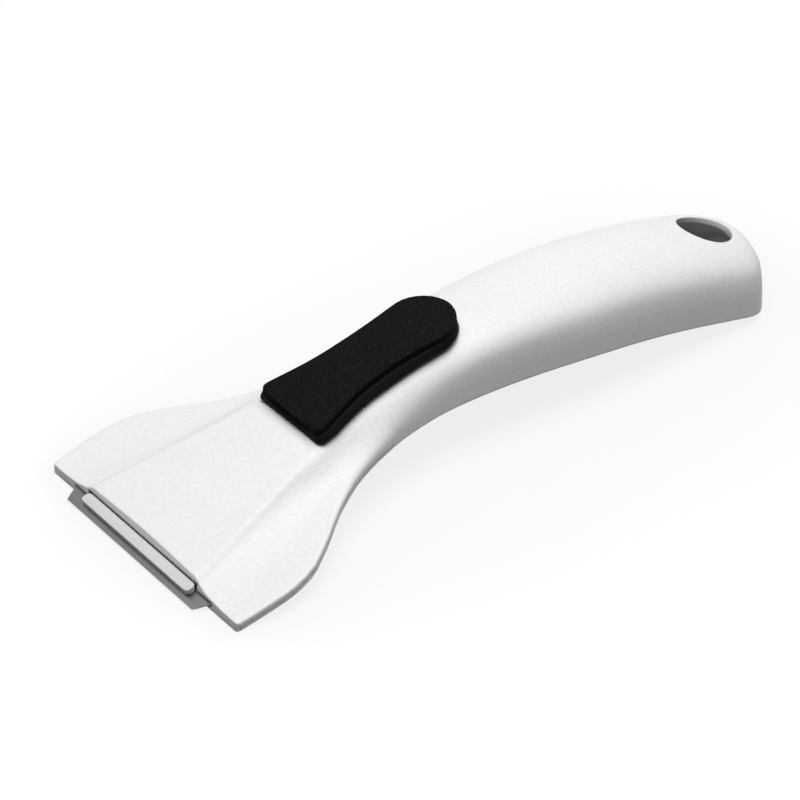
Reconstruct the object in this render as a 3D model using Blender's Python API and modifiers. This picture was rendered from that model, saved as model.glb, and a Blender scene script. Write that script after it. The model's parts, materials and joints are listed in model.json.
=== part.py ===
"""A hob scraper: a moulded shell with an arched handle, and a blade that a thumb slider pushes out.

Lengths are in metres. X runs across the blade, Y from the blade to the end of the handle, and Z up.
The scraper lies at rest on the front edge of its head and on the end of its handle.
"""

import math

import bmesh
import bpy
from mathutils import Matrix, Vector

MM = 0.001

# Shell seen from above
LENGTH = 143.4 * MM
HEAD_WIDTH = 60.0 * MM
NECK_WIDTH = 23.0 * MM
GRIP_WIDTH = 27.6 * MM
FLARE_LENGTH = 59.0 * MM
GRIP_LENGTH = 43.0 * MM
GRIP_SPREAD = 1.0 * MM
TIP_CORNER = 0.7 * MM
END_CORNER = 8.4 * MM
END_ROUND = 1.8 * MM
END_DROP_SHARE = 0.13
FLARE_SHARES = (
    (0.0, 0.968), (0.08, 0.987), (0.18, 1.0), (0.27, 0.955), (0.37, 0.78),
    (0.5, 0.475), (0.63, 0.25), (0.75, 0.125), (0.87, 0.04), (1.0, 0.0),
)

# Shell seen from the side
FRONT_HEIGHT = 4.2 * MM
CROWN_STRAIGHT = 42.0 * MM
CROWN_RADIUS = 165.0 * MM
CROWN_SLOPE = math.radians(16.2)
CROWN_TAIL_SLOPE = math.radians(16.5)
UNDER_STRAIGHT = 20.0 * MM
UNDER_SLOPE = math.radians(12.9)
UNDER_TAIL_SLOPE = math.radians(13.0)

# Shell in cross-section
PLATEAU_WIDTH = 33.4 * MM
CROWN_WIDTH = 13.6 * MM
CROWN_DROP = 0.8 * MM
PLATEAU_DROP = 0.45 * MM
WING_EDGE = 1.9 * MM
SIDE_DRAFT = 0.4 * MM
CROWN_FILLET = 6.0 * MM
PLATEAU_FILLET = 1.0 * MM
SHOULDER_FILLET = 4.5 * MM
FOOT_FILLET = 3.2 * MM
EDGE_FILLET = 1.1 * MM
SIDE_FILLET = 3.0 * MM
LEAN_START = 2.4 * MM
LEAN_ANGLE = math.radians(17.0)
FILLET_STEPS = 4
END_STEPS = 8
WELD = 0.001 * MM
TURN_WELD = 0.01 * MM
PLATEAU_SHARES = ((0.0, 1.0), (0.55, 0.295), (0.68, 0.15), (0.8, 0.06), (1.0, 0.0))
FOOT_SHARES = ((0.0, 0.48), (0.3, 0.36), (0.5, 0.42), (0.65, 0.52), (0.85, 0.66), (1.15, 0.74))
FOOT_RISE_SHARES = ((0.0, 0.0), (0.4, 0.02), (0.65, 0.45), (0.85, 0.8), (1.15, 1.0))
GRIP_FOOT_SHARE = 0.75
GRIP_EDGE_SHARE = 0.42

# Walls of the shell and the hollow in it
LIP_WALL = 1.5 * MM
ROOF_WALL = 1.8 * MM
END_ROOF_WALL = 1.3 * MM
END_ROOF_LENGTH = 25.0 * MM
SIDE_WALL = 1.8 * MM
HOLLOW_FILLET = 1.6 * MM
HOLLOW_START = 2.4 * MM
HOLLOW_SHARES = (
    (0.0, 0.16), (0.12, 0.2), (0.3, 0.18), (0.43, 0.18),
    (0.6, 0.3), (0.75, 0.53), (0.88, 0.66), (1.0, 0.64),
)
HOLLOW_SIDE_SHARES = ((0.0, 0.58), (0.43, 0.48), (0.6, 0.32), (0.75, 0.35), (1.0, 0.5), (1.3, 0.6))
WEB_WALL = 1.4 * MM
WEB_CLEAR = 3.0 * MM
WEB_SHARES = (0.66, 0.79)
HANG_HOLE_RADIUS = 5.75 * MM
HANG_HOLE_WALL = 2.5 * MM
HANG_HOLE_LIP = 0.6 * MM
HANG_HOLE_STEPS = 36

# Running clearances
RUN_GAP = 0.3 * MM
SEAT_GAP = 0.08 * MM
MOUTH_GAP = 0.15 * MM
OVERRUN = 2.0 * MM

# Blade
BLADE_WIDTH = 43.0 * MM
BLADE_DEPTH = 22.0 * MM
BLADE_THICK = 0.3 * MM
BLADE_REACH = 2.75 * MM
BLADE_CLIP_WIDTH = 1.5 * MM
BLADE_CLIP_LENGTH = 3.2 * MM
BLADE_BEVEL = 1.1 * MM
BLADE_SLOT_LENGTH = 10.0 * MM
BLADE_SLOT_WIDTH = 3.0 * MM
PEG_SPREAD = 24.0 * MM
PEG_RADIUS = 1.5 * MM
PEG_HOLE_RADIUS = 1.75 * MM
TRAVEL = 7.0 * MM

# Plate that holds the blade up against its carrier
CLAMP_MARGIN = 3.0 * MM
CLAMP_DEPTH = 13.0 * MM
CLAMP_THICK = 0.3 * MM
CLAMP_CORNER = 2.0 * MM

# Blade carrier
BEAD_LENGTH = 34.0 * MM
BEAD_DEPTH = 2.2 * MM
BEAD_HEIGHT = 1.15 * MM
BEAD_FORWARD = 1.5 * MM
BEAD_ROUND = 0.45 * MM
BEAD_CORNER = 0.9 * MM
SLED_THICK = 1.0 * MM
SLED_FRONT_WIDTH = 32.6 * MM
SLED_REAR_WIDTH = 24.0 * MM
SLED_LENGTH = 19.0 * MM
RIB_SPREAD = 13.0 * MM
RIB_WALL = 1.2 * MM
RIB_SETBACK = 8.0 * MM
TONGUE_WIDTH = 11.0 * MM
TONGUE_THICK = 1.4 * MM
EYE_WIDTH = 13.6 * MM
EYE_WALL = 2.0 * MM

# Bottom cover
COVER_RIM = 0.5 * MM
COVER_SEAM = 0.12 * MM
COVER_PLATE = 1.2 * MM
COVER_RIM_LENGTH = 47.0 * MM
COVER_LENGTH = 77.0 * MM
COVER_STEP = 0.3 * MM
COVER_PLATE_START = 28.5 * MM
RAIL_WALL = 1.0 * MM
RAIL_START = 37.0 * MM
RAIL_END = 46.0 * MM

# Cover screws
SCREW_HEAD_RADIUS = 2.1 * MM
SCREW_HEAD_HEIGHT = 1.0 * MM
SCREW_RADIUS = 1.1 * MM
SCREW_LENGTH = 4.2 * MM
SCREW_TIP = 0.9 * MM
SCREW_CLEAR = 0.1 * MM
RECESS_DEPTH = 0.65 * MM
RECESS_REACH_SHARE = 0.6
RECESS_WIDTH_SHARE = 0.22
BOSS_RADIUS = 2.3 * MM
SCREW_SPREAD = 16.6 * MM
SCREW_FRONT = 34.0 * MM
SCREW_REAR = 73.0 * MM
ROUND_STEPS = 20

# Detent spring
SPRING_WIDTH = 7.0 * MM
SPRING_THICK = 0.3 * MM
SPRING_LENGTH = 9.6 * MM
SPRING_MIDDLE = 43.0 * MM
SPRING_LIFT = 0.4 * MM
NOTCH_DEPTH = 0.8 * MM
NOTCH_LENGTH = 5.0 * MM
NOTCH_RIDGE = 0.2 * MM

# Thumb slider
SLIDER_START = 33.1 * MM
SLIDER_LENGTH = 36.9 * MM
SLIDER_FRONT_WIDTH = 18.2 * MM
SLIDER_WAIST_WIDTH = 12.5 * MM
SLIDER_HEEL_WIDTH = 14.2 * MM
SLIDER_SHARES = (
    (0.0, 1.0), (0.09, 0.75), (0.14, 0.58), (0.23, 0.31), (0.32, 0.12), (0.39, 0.05), (0.5, 0.0),
)
HEEL_SHARES = ((0.5, 0.0), (0.57, 0.05), (0.69, 0.37), (0.78, 0.8), (0.85, 1.0), (1.0, 1.0))
SLIDER_BOW = 0.5 * MM
BASE_BOW = 1.1 * MM
SLIDER_CORNER = 1.3 * MM
BASE_THICK = 1.1 * MM
BASE_FLARE = 1.5 * MM
BASE_STEP = 0.35 * MM
BASE_ROUND = 0.35 * MM
FRONT_FLARE_SHARE = 0.2
HEEL_FLARE_SHARE = 0.3
FLARE_GROW_SHARES = (
    (0.0, 0.5), (0.13, 1.0), (0.45, 1.05), (0.7, 0.72), (0.85, 0.42), (1.0, 0.35),
)
PAD_THICK = 1.25 * MM
PAD_UNDERCUT = 0.15 * MM
PAD_ROUND = 0.25 * MM
STEM_CENTRE = 55.0 * MM
STEM_LENGTH = 8.0 * MM
STEM_WIDTH = 5.0 * MM
SHOE_LENGTH = 12.0 * MM
SHOE_WIDTH = 8.4 * MM
SHOE_DROP = 0.3 * MM
SHOE_THICK = 0.8 * MM
SHOE_CORNER = 2.0 * MM
DRIVE_RADIUS = 3.8 * MM
DRIVE_DEPTH = 2.0 * MM
SHOE_SCREW_HEAD = 2.3 * MM
SHOE_SCREW_HEIGHT = 1.1 * MM
SHOE_SCREW_LENGTH = 4.6 * MM

# Worked out from the sizes above
CROWN_ARC_START = FRONT_HEIGHT + CROWN_STRAIGHT * math.tan(CROWN_SLOPE)
CROWN_CENTRE_Y = CROWN_STRAIGHT + CROWN_RADIUS * math.sin(CROWN_SLOPE)
CROWN_CENTRE_Z = CROWN_ARC_START - CROWN_RADIUS * math.cos(CROWN_SLOPE)
CLAMP_LOW = COVER_RIM + RUN_GAP / 2
BLADE_LOW = CLAMP_LOW + CLAMP_THICK + SEAT_GAP
BLADE_TOP = BLADE_LOW + BLADE_THICK
SLED_LOW = BLADE_TOP + SEAT_GAP
PEG_MIDDLE = BLADE_DEPTH / 2 - BLADE_REACH
FRONT_REACH = BLADE_REACH * math.cos(UNDER_SLOPE) + (BLADE_LOW + BLADE_THICK / 2) * math.sin(UNDER_SLOPE)
MIDDLE_Y = (LENGTH - FRONT_REACH) / 2
SHOE_TOP = ROOF_WALL + RUN_GAP + SHOE_DROP
HANG_HOLE_Y = LENGTH - HANG_HOLE_WALL - HANG_HOLE_RADIUS


def under_radius():
    """The radius of the arch under the handle that brings its end down to the table."""
    tail = math.tan(UNDER_TAIL_SLOPE)
    drop = tail * (LENGTH - UNDER_STRAIGHT) - UNDER_STRAIGHT * math.tan(UNDER_SLOPE)
    turn = math.cos(UNDER_TAIL_SLOPE) - math.cos(UNDER_SLOPE)
    return drop / (turn + tail * (math.sin(UNDER_SLOPE) + math.sin(UNDER_TAIL_SLOPE)))


def arch(y, start, slope, straight, radius, tail_slope):
    """Height and slope angle at y of a straight rise, an arc that turns down and a straight fall."""
    if y <= straight:
        return start + y * math.tan(slope), slope
    centre_y = straight + radius * math.sin(slope)
    centre_z = start + straight * math.tan(slope) - radius * math.cos(slope)
    tail_y = centre_y + radius * math.sin(tail_slope)
    if y <= tail_y:
        angle = math.asin((centre_y - y) / radius)
        return centre_z + radius * math.cos(angle), angle
    fall = (y - tail_y) * math.tan(tail_slope)
    return centre_z + radius * math.cos(tail_slope) - fall, -tail_slope


def crown(y):
    """Height of the shell's top at its middle."""
    return arch(y, FRONT_HEIGHT, CROWN_SLOPE, CROWN_STRAIGHT, CROWN_RADIUS, CROWN_TAIL_SLOPE)[0]


def crown_slope(y):
    """Slope angle of the shell's top at its middle."""
    return arch(y, FRONT_HEIGHT, CROWN_SLOPE, CROWN_STRAIGHT, CROWN_RADIUS, CROWN_TAIL_SLOPE)[1]


def under(y):
    """Height of the shell's lower edge."""
    return arch(y, 0.0, UNDER_SLOPE, UNDER_STRAIGHT, under_radius(), UNDER_TAIL_SLOPE)[0]


def under_slope(y):
    """Slope angle of the shell's lower edge."""
    return arch(y, 0.0, UNDER_SLOPE, UNDER_STRAIGHT, under_radius(), UNDER_TAIL_SLOPE)[1]


def mix(first, second, share):
    """The value that lies this share of the way from first to second."""
    return first + (second - first) * share


def ease(share):
    """A share that starts and ends level, held to 0 and 1."""
    share = min(max(share, 0.0), 1.0)
    return share * share * (3 - 2 * share)


def follow(shares, place):
    """A smooth curve through a table of (place, share) rows that never overshoots its rows."""
    if place <= shares[0][0]:
        return shares[0][1]
    if place >= shares[-1][0]:
        return shares[-1][1]
    steps = [(b[1] - a[1]) / (b[0] - a[0]) for a, b in zip(shares, shares[1:])]
    slopes = [steps[0]]
    for before, after in zip(steps, steps[1:]):
        slopes.append(2 * before * after / (before + after) if before * after > 0 else 0.0)
    slopes.append(steps[-1])
    row = max(i for i in range(len(steps)) if shares[i][0] <= place)
    span = shares[row + 1][0] - shares[row][0]
    t = (place - shares[row][0]) / span
    start, end = shares[row][1], shares[row + 1][1]
    rise = (2 * t**3 - 3 * t**2 + 1) * start + (3 * t**2 - 2 * t**3) * end
    return rise + span * ((t**3 - 2 * t**2 + t) * slopes[row] + (t**3 - t**2) * slopes[row + 1])


def plan_half(y):
    """Half the shell's width before its end is rounded."""
    neck = NECK_WIDTH / 2
    grip = mix(neck, GRIP_WIDTH / 2, ease((y - FLARE_LENGTH) / GRIP_LENGTH))
    beyond = max(0.0, y - FLARE_LENGTH - GRIP_LENGTH)
    grip += GRIP_SPREAD / 2 * beyond / (LENGTH - FLARE_LENGTH - GRIP_LENGTH)
    return grip + (HEAD_WIDTH / 2 - neck) * follow(FLARE_SHARES, y / FLARE_LENGTH)


def crown_half(y):
    """Half the width of the plateau on the head, and of the nearly flat top of the handle."""
    fade = follow(PLATEAU_SHARES, y / FLARE_LENGTH)
    return mix(CROWN_WIDTH / 2, PLATEAU_WIDTH / 2, fade)


def end_share(y, end, corner):
    """The share of its full size that a round end leaves at y, for an end of this corner radius."""
    into = max(0.0, y - (end - corner))
    return corner - math.sqrt(max(0.0, corner**2 - into**2))


def rounded_path(corners, cuts):
    """A path through the corners, each inner one rounded by a curve that starts this far from it."""
    path = [corners[0]]
    for before, corner, after, cut in zip(corners, corners[1:], corners[2:], cuts):
        back = before - corner
        onward = after - corner
        start = corner + back.normalized() * min(cut, back.length / 2)
        end = corner + onward.normalized() * min(cut, onward.length / 2)
        for step in range(FILLET_STEPS + 1):
            t = step / FILLET_STEPS
            path.append(start * (1 - t) ** 2 + corner * 2 * t * (1 - t) + end * t**2)
    path.append(corners[-1])
    return path


def mirrored(half):
    """The whole section from its right half, which ends on the middle line."""
    return half + [Vector((-point.x, point.y)) for point in reversed(half[:-1])]


def shell_section(y):
    """The outer section of the shell at y, from its right lower edge over the crown to the left one."""
    place = y / FLARE_LENGTH
    low, top = under(y), crown(y)
    height = top - low
    half, flat = plan_half(y), crown_half(y)
    turn = ease((place - 0.35) / 0.8)
    foot_x = flat + (half - flat) * follow(FOOT_SHARES, place)
    rise = follow(FOOT_RISE_SHARES, place)
    foot_z = low + mix(WING_EDGE, GRIP_FOOT_SHARE * height, rise)
    edge_z = low + mix(WING_EDGE, GRIP_EDGE_SHARE * height, turn)
    corners = [
        Vector((half, low + cover_step(y))),
        Vector((half - SIDE_DRAFT * turn, edge_z)),
        Vector((foot_x, foot_z)),
        Vector((flat, top - mix(PLATEAU_DROP, CROWN_DROP, turn))),
        Vector((0.0, top)),
    ]
    cuts = [
        mix(EDGE_FILLET, SIDE_FILLET, turn),
        FOOT_FILLET,
        mix(PLATEAU_FILLET, SHOULDER_FILLET, turn),
        CROWN_FILLET,
    ]
    path = rounded_path(mirrored(corners), cuts + cuts[-2::-1])
    side_share = 1 - end_share(y, LENGTH, END_CORNER) / half
    top_share = 1 - END_DROP_SHARE * end_share(y, LENGTH, END_ROUND) / END_ROUND
    return [Vector((p.x * side_share, y, low + (p.y - low) * top_share)) for p in path]


def cover_step(y):
    """How far the shell's lower edge is raised to make room for the rim of the bottom cover."""
    return COVER_RIM + COVER_SEAM if y <= COVER_RIM_LENGTH else 0.0


def hollow_half(y):
    """Half the width of the hollow in the shell."""
    flat, half = crown_half(y), plan_half(y)
    head = mix(flat, half, follow(HOLLOW_SHARES, y / FLARE_LENGTH))
    return mix(head, half - SIDE_WALL, ease((y / FLARE_LENGTH - 0.6) / 0.3))


def roof_wall(y):
    """Thickness of the shell's top: thinner at the front edge and round the hanging hole."""
    front = mix(LIP_WALL, ROOF_WALL, ease(y / FLARE_LENGTH))
    return mix(front, END_ROOF_WALL, ease((y - LENGTH) / END_ROOF_LENGTH + 2))


def hollow_section(y):
    """The section of the hollow at y, from its right lower edge over the top to the left one."""
    low, height = under(y), crown(y) - under(y)
    roof = crown(y) - roof_wall(y)
    half = hollow_half(y)
    turn = ease((y / FLARE_LENGTH - 0.35) / 0.8)
    side_z = low + height * follow(HOLLOW_SIDE_SHARES, y / FLARE_LENGTH)
    corners = [
        Vector((half, low - OVERRUN)),
        Vector((half, side_z)),
        Vector((crown_half(y) - HOLLOW_FILLET / 4, roof - CROWN_DROP * turn)),
        Vector((0.0, roof)),
    ]
    cuts = [HOLLOW_FILLET, HOLLOW_FILLET, CROWN_FILLET]
    path = rounded_path(mirrored(corners), cuts + cuts[-2::-1])
    end = LENGTH - SIDE_WALL
    side_share = 1 - end_share(y, end, END_CORNER - SIDE_WALL) / half
    top_share = 1 - END_DROP_SHARE * end_share(y, end, END_ROUND) / END_ROUND
    return [Vector((p.x * side_share, y, low + (p.y - low) * top_share)) for p in path]


def stations(start, end, count, corner, turns):
    """Places along Y: even steps, then closer ones round an end of this corner radius."""
    straight_end = end - corner
    even = [mix(start, straight_end, i / count) for i in range(count)]
    angles = [math.pi / 2 * i / turns for i in range(turns + 1)]
    return even + [straight_end + corner * math.sin(angle) for angle in angles]


def new_object(name, bm, collection, frame):
    """Makes an object of this bmesh, smooth where its faces meet at a low angle."""
    bmesh.ops.recalc_face_normals(bm, faces=bm.faces[:])
    mesh = bpy.data.meshes.new(name)
    bm.to_mesh(mesh)
    bm.free()
    mesh.shade_smooth()
    mesh.set_sharp_from_angle(angle=math.radians(35))
    obj = bpy.data.objects.new(name, mesh)
    collection.objects.link(obj)
    obj.parent = frame
    return obj


def loft(name, sections, collection, frame):
    """A closed solid through sections that have as many points each."""
    bm = bmesh.new()
    rings = [[bm.verts.new(point) for point in section] for section in sections]
    count = len(rings[0])
    for ring, following in zip(rings, rings[1:]):
        for i in range(count):
            j = (i + 1) % count
            bm.faces.new((ring[i], ring[j], following[j], following[i]))
    bm.faces.new(reversed(rings[0]))
    bm.faces.new(rings[-1])
    return new_object(name, bm, collection, frame)


def box(name, low, high, collection, frame):
    """A box between two corners."""
    bm = bmesh.new()
    bmesh.ops.create_cube(bm, size=1.0)
    low, high = Vector(low), Vector(high)
    place = Matrix.Translation((low + high) / 2) @ Matrix.Diagonal(high - low).to_4x4()
    bmesh.ops.transform(bm, verts=bm.verts, matrix=place)
    return new_object(name, bm, collection, frame)


def cylinder(name, centre, radius, low, high, collection, frame, top_radius=None):
    """An upright cylinder or cone between two heights."""
    bm = bmesh.new()
    upper = radius if top_radius is None else top_radius
    bmesh.ops.create_cone(
        bm, cap_ends=True, segments=ROUND_STEPS, radius1=radius, radius2=upper, depth=high - low,
        matrix=Matrix.Translation((centre[0], centre[1], (low + high) / 2)),
    )
    return new_object(name, bm, collection, frame)


def turned(name, profile, collection, frame, steps=ROUND_STEPS):
    """A turned piece: the profile's (radius, height) points run down its outer side, top to bottom."""
    bm = bmesh.new()
    verts = [bm.verts.new((radius, 0.0, height)) for radius, height in profile]
    for first, second in zip(verts, verts[1:]):
        bm.edges.new((first, second))
    mesh = bpy.data.meshes.new(name)
    bm.to_mesh(mesh)
    bm.free()
    obj = bpy.data.objects.new(name, mesh)
    collection.objects.link(obj)
    obj.parent = frame
    screw = obj.modifiers.new("turn", "SCREW")
    screw.steps = screw.render_steps = steps
    screw.use_merge_vertices = True
    screw.merge_threshold = TURN_WELD
    screw.use_smooth_shade = True
    return obj


def flat_piece(name, outline, low, high, collection, frame):
    """A flat piece with this outline, made from a filled 2D curve."""
    curve = bpy.data.curves.new(name, "CURVE")
    curve.dimensions = "2D"
    curve.fill_mode = "BOTH"
    curve.extrude = (high - low) / 2
    spline = curve.splines.new("POLY")
    spline.points.add(len(outline) - 1)
    for point, place in zip(spline.points, outline):
        point.co = (place[0], place[1], 0.0, 1.0)
    spline.use_cyclic_u = True
    guide = bpy.data.objects.new(name + "_outline", curve)
    bpy.context.scene.collection.objects.link(guide)
    evaluated = guide.evaluated_get(bpy.context.evaluated_depsgraph_get())
    mesh = bpy.data.meshes.new_from_object(evaluated)
    bm = bmesh.new()
    bm.from_mesh(mesh)
    bmesh.ops.remove_doubles(bm, verts=bm.verts, dist=WELD)
    bmesh.ops.translate(bm, verts=bm.verts, vec=(0.0, 0.0, (low + high) / 2))
    bpy.data.objects.remove(guide)
    bpy.data.curves.remove(curve)
    bpy.data.meshes.remove(mesh)
    return new_object(name, bm, collection, frame)


def rounded_outline(half_width, start, end, corner, steps=5):
    """A rectangle from -half_width to half_width in X and start to end in Y, with round corners."""
    places = (
        (half_width - corner, end - corner, 0.0),
        (corner - half_width, end - corner, math.pi / 2),
        (corner - half_width, start + corner, math.pi),
        (half_width - corner, start + corner, math.pi * 3 / 2),
    )
    outline = []
    for x, y, first in places:
        for step in range(steps + 1):
            angle = first + math.pi / 2 * step / steps
            outline.append((x + corner * math.cos(angle), y + corner * math.sin(angle)))
    return outline


def join(target, tool, operation):
    """Adds, cuts or keeps the part shared with another object, by an exact Boolean."""
    modifier = target.modifiers.new(tool.name, "BOOLEAN")
    modifier.operation = operation
    modifier.object = tool
    modifier.solver = "EXACT"
    return target


def cut(target, *tools):
    """Cuts each tool out of the target."""
    for tool in tools:
        join(target, tool, "DIFFERENCE")
    return target


def add(target, *tools):
    """Fuses each tool to the target."""
    for tool in tools:
        join(target, tool, "UNION")
    return target


def soften(obj, width, segments=2):
    """Rounds the sharp edges of an object."""
    bevel = obj.modifiers.new("soften", "BEVEL")
    bevel.width = width
    bevel.segments = segments
    bevel.limit_method = "ANGLE"
    bevel.angle_limit = math.radians(40)
    return obj


def material(name, colour, roughness, metallic=0.0):
    """A plain Principled material."""
    made = bpy.data.materials.new(name)
    made.use_nodes = True
    shader = made.node_tree.nodes["Principled BSDF"]
    shader.inputs["Base Color"].default_value = (*colour, 1.0)
    shader.inputs["Roughness"].default_value = roughness
    shader.inputs["Metallic"].default_value = metallic
    made.diffuse_color = (*colour, 1.0)
    return made


def clear_scene():
    """Removes what the new file holds."""
    for obj in list(bpy.data.objects):
        bpy.data.objects.remove(obj)


def new_collection(name):
    """A collection under the scene's own."""
    made = bpy.data.collections.new(name)
    bpy.context.scene.collection.children.link(made)
    return made


def empty(name, collection, parent, matrix):
    """A frame that pieces are built in."""
    made = bpy.data.objects.new(name, None)
    made.empty_display_size = OVERRUN
    collection.objects.link(made)
    made.parent = parent
    made.matrix_basis = matrix
    return made


def build_shell(parts, tools, frame, head, stem, axes):
    """The moulded shell: head, neck and handle in one, open underneath."""
    ys = stations(-OVERRUN, LENGTH, 48, END_CORNER, END_STEPS)
    ys += [COVER_RIM_LENGTH, COVER_RIM_LENGTH + COVER_STEP]
    shell = loft("top_housing", [shell_section(y) for y in sorted(ys)], parts, frame)
    hollow_ys = stations(HOLLOW_START, LENGTH - SIDE_WALL, 40, END_CORNER - SIDE_WALL, END_STEPS)
    hollow = loft("hollow", [hollow_section(y) for y in hollow_ys], tools, frame)
    cut(hollow, *shell_webs(tools, frame), *screw_bosses(tools, axes))
    cut(shell, hollow, blade_pocket(tools, head), bead_mouth(tools, head))
    cut(shell, stem_slot(tools, stem), hanging_hole(tools, frame))
    cut(shell, front_trim(tools, frame), *screw_bores(tools, axes))
    return shell


def shell_webs(tools, frame):
    """Webs across the hollow of the handle, which stop short of the lower edge."""
    made = []
    for i, share in enumerate(WEB_SHARES):
        y = LENGTH * share
        low = (-GRIP_WIDTH, y - WEB_WALL / 2, under(y) + WEB_CLEAR)
        high = (GRIP_WIDTH, y + WEB_WALL / 2, crown(y) + OVERRUN)
        made.append(box(f"web_{i}", low, high, tools, frame))
    return made


def screw_places():
    """Where the three cover screws stand."""
    return {
        "left": (-SCREW_SPREAD / 2, SCREW_FRONT),
        "right": (SCREW_SPREAD / 2, SCREW_FRONT),
        "rear": (0.0, SCREW_REAR),
    }


def screw_frames(parts, frame):
    """A frame for each cover screw, with its Z square to the cover there."""
    frames = {}
    for side, (x, y) in screw_places().items():
        place = Matrix.Translation((x, y, under(y))) @ Matrix.Rotation(under_slope(y), 4, "X")
        frames[side] = empty(f"cover_screw_{side}_axis", parts, frame, place)
    return frames


def screw_bosses(tools, axes):
    """Posts that stand down from the roof of the shell to the bottom cover."""
    low = COVER_PLATE + RUN_GAP
    made = []
    for side, axis in axes.items():
        high = crown(screw_places()[side][1]) - under(screw_places()[side][1]) + OVERRUN
        made.append(cylinder(f"boss_{side}", (0.0, 0.0), BOSS_RADIUS, low, high, tools, axis))
    return made


def screw_bores(tools, axes):
    """Blind bores in the posts."""
    high = SCREW_LENGTH + SCREW_CLEAR
    wide = SCREW_RADIUS + SCREW_CLEAR
    axis = (0.0, 0.0)
    return [cylinder(f"bore_{side}", axis, wide, 0.0, high, tools, at) for side, at in axes.items()]


def blade_pocket(tools, head):
    """The wide flat pocket that the blade slides back into."""
    half = BLADE_WIDTH / 2 + RUN_GAP
    rear = BLADE_DEPTH - BLADE_REACH + TRAVEL + RUN_GAP
    outline = [
        (half, -2 * OVERRUN),
        (half, rear - BLADE_CLIP_LENGTH),
        (half - BLADE_CLIP_WIDTH, rear),
        (BLADE_CLIP_WIDTH - half, rear),
        (-half, rear - BLADE_CLIP_LENGTH),
        (-half, -2 * OVERRUN),
    ]
    return flat_piece("blade_pocket", outline, -OVERRUN, BLADE_TOP + RUN_GAP, tools, head)


def bead_mouth(tools, head):
    """The slot in the front lip, above the blade, that the bead and the sled slide back into."""
    half = BEAD_LENGTH / 2 + RUN_GAP
    rear = BEAD_DEPTH - BEAD_FORWARD + TRAVEL + RUN_GAP
    outline = [(half, -2 * OVERRUN), (half, rear), (-half, rear), (-half, -2 * OVERRUN)]
    return flat_piece("bead_mouth", outline, -OVERRUN, SLED_LOW + BEAD_HEIGHT + MOUTH_GAP, tools, head)


def stem_slot(tools, stem):
    """The slot in the neck that the slider's stem runs in."""
    half_length = STEM_LENGTH / 2 + RUN_GAP
    half_width = STEM_WIDTH / 2 + RUN_GAP
    outline = rounded_outline(half_width, -half_length, half_length + TRAVEL, STEM_WIDTH / 2)
    return flat_piece("stem_slot", outline, -ROOF_WALL - OVERRUN, OVERRUN, tools, stem)


def hanging_hole(tools, frame):
    """The round hole near the end of the handle, square to the crown there, with a rounded lip."""
    slope = crown_slope(HANG_HOLE_Y)
    turn = Matrix.Translation((0.0, HANG_HOLE_Y, crown(HANG_HOLE_Y))) @ Matrix.Rotation(slope, 4, "X")
    axis = empty("hanging_hole_axis", tools, frame, turn)
    steps = 4
    profile = [(0.0, OVERRUN), (HANG_HOLE_RADIUS + HANG_HOLE_LIP, OVERRUN)]
    for step in range(steps + 1):
        angle = math.pi / 2 * step / steps
        out = HANG_HOLE_LIP * (1 - math.sin(angle))
        profile.append((HANG_HOLE_RADIUS + out, HANG_HOLE_LIP * (math.cos(angle) - 1)))
    profile += [(HANG_HOLE_RADIUS, -ROOF_WALL - OVERRUN), (0.0, -ROOF_WALL - OVERRUN)]
    return turned("hanging_hole", profile, tools, axis, HANG_HOLE_STEPS)


def front_edge(x):
    """Where the front of the head stands at x: straight, with small round tips."""
    half = plan_half(0.0)
    return end_share(min(abs(x), half), half, TIP_CORNER)


def front_trim(tools, frame):
    """Trims the front of the head to its edge with round tips, and leans its face back above the blade."""
    half = plan_half(0.0)
    top = FRONT_HEIGHT + OVERRUN
    lean = (top - LEAN_START) * math.tan(LEAN_ANGLE)
    halves = [0.0]
    halves += [half - TIP_CORNER + TIP_CORNER * math.sin(math.pi / 8 * step) for step in range(5)]
    halves += [HEAD_WIDTH]
    sections = []
    for x in [-x for x in halves[:0:-1]] + halves:
        y = front_edge(x)
        sections.append([Vector((x, *point)) for point in (
            (-3 * OVERRUN, -OVERRUN), (y, -OVERRUN), (y, LEAN_START), (y + lean, top), (-3 * OVERRUN, top),
        )])
    return loft("front_trim", sections, tools, frame)


def cover_section(y):
    """The bottom cover's section: flush with the shell in the head, and inside its sides in the handle."""
    half = plan_half(y) if y < COVER_RIM_LENGTH else hollow_half(y) - RUN_GAP
    low = under(y)
    return [Vector((x, y, z)) for x, z in (
        (half, low), (half, low + COVER_RIM), (-half, low + COVER_RIM), (-half, low),
    )]


def cover_plate_section(y):
    """The thicker plate inside the hollow, behind the blade's pocket."""
    half = hollow_half(y) - RUN_GAP
    low = under(y) + COVER_RIM / 2
    high = under(y) + COVER_PLATE
    return [Vector((x, y, z)) for x, z in ((half, low), (half, high), (-half, high), (-half, low))]


def build_cover(parts, tools, frame, axes):
    """The bottom cover of the head and neck, with rails that guide the blade carrier."""
    ys = [mix(-OVERRUN, COVER_RIM_LENGTH - COVER_STEP, i / 24) for i in range(25)]
    ys += [mix(COVER_RIM_LENGTH, COVER_LENGTH, i / 12) for i in range(13)]
    cover = loft("bottom_cover", [cover_section(y) for y in ys], parts, frame)
    plate_ys = [mix(COVER_PLATE_START, COVER_LENGTH - RUN_GAP, i / 20) for i in range(21)]
    plate = loft("cover_plate", [cover_plate_section(y) for y in plate_ys], tools, frame)
    add(cover, plate, *guide_rails(tools, frame))
    cut(cover, front_trim_copy(tools, frame), *screw_seats(tools, axes))
    return cover


def front_trim_copy(tools, frame):
    """The same trim of the front edge for the cover."""
    made = bpy.data.objects.new("cover_front_trim", bpy.data.objects["front_trim"].data)
    tools.objects.link(made)
    made.parent = frame
    return made


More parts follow.
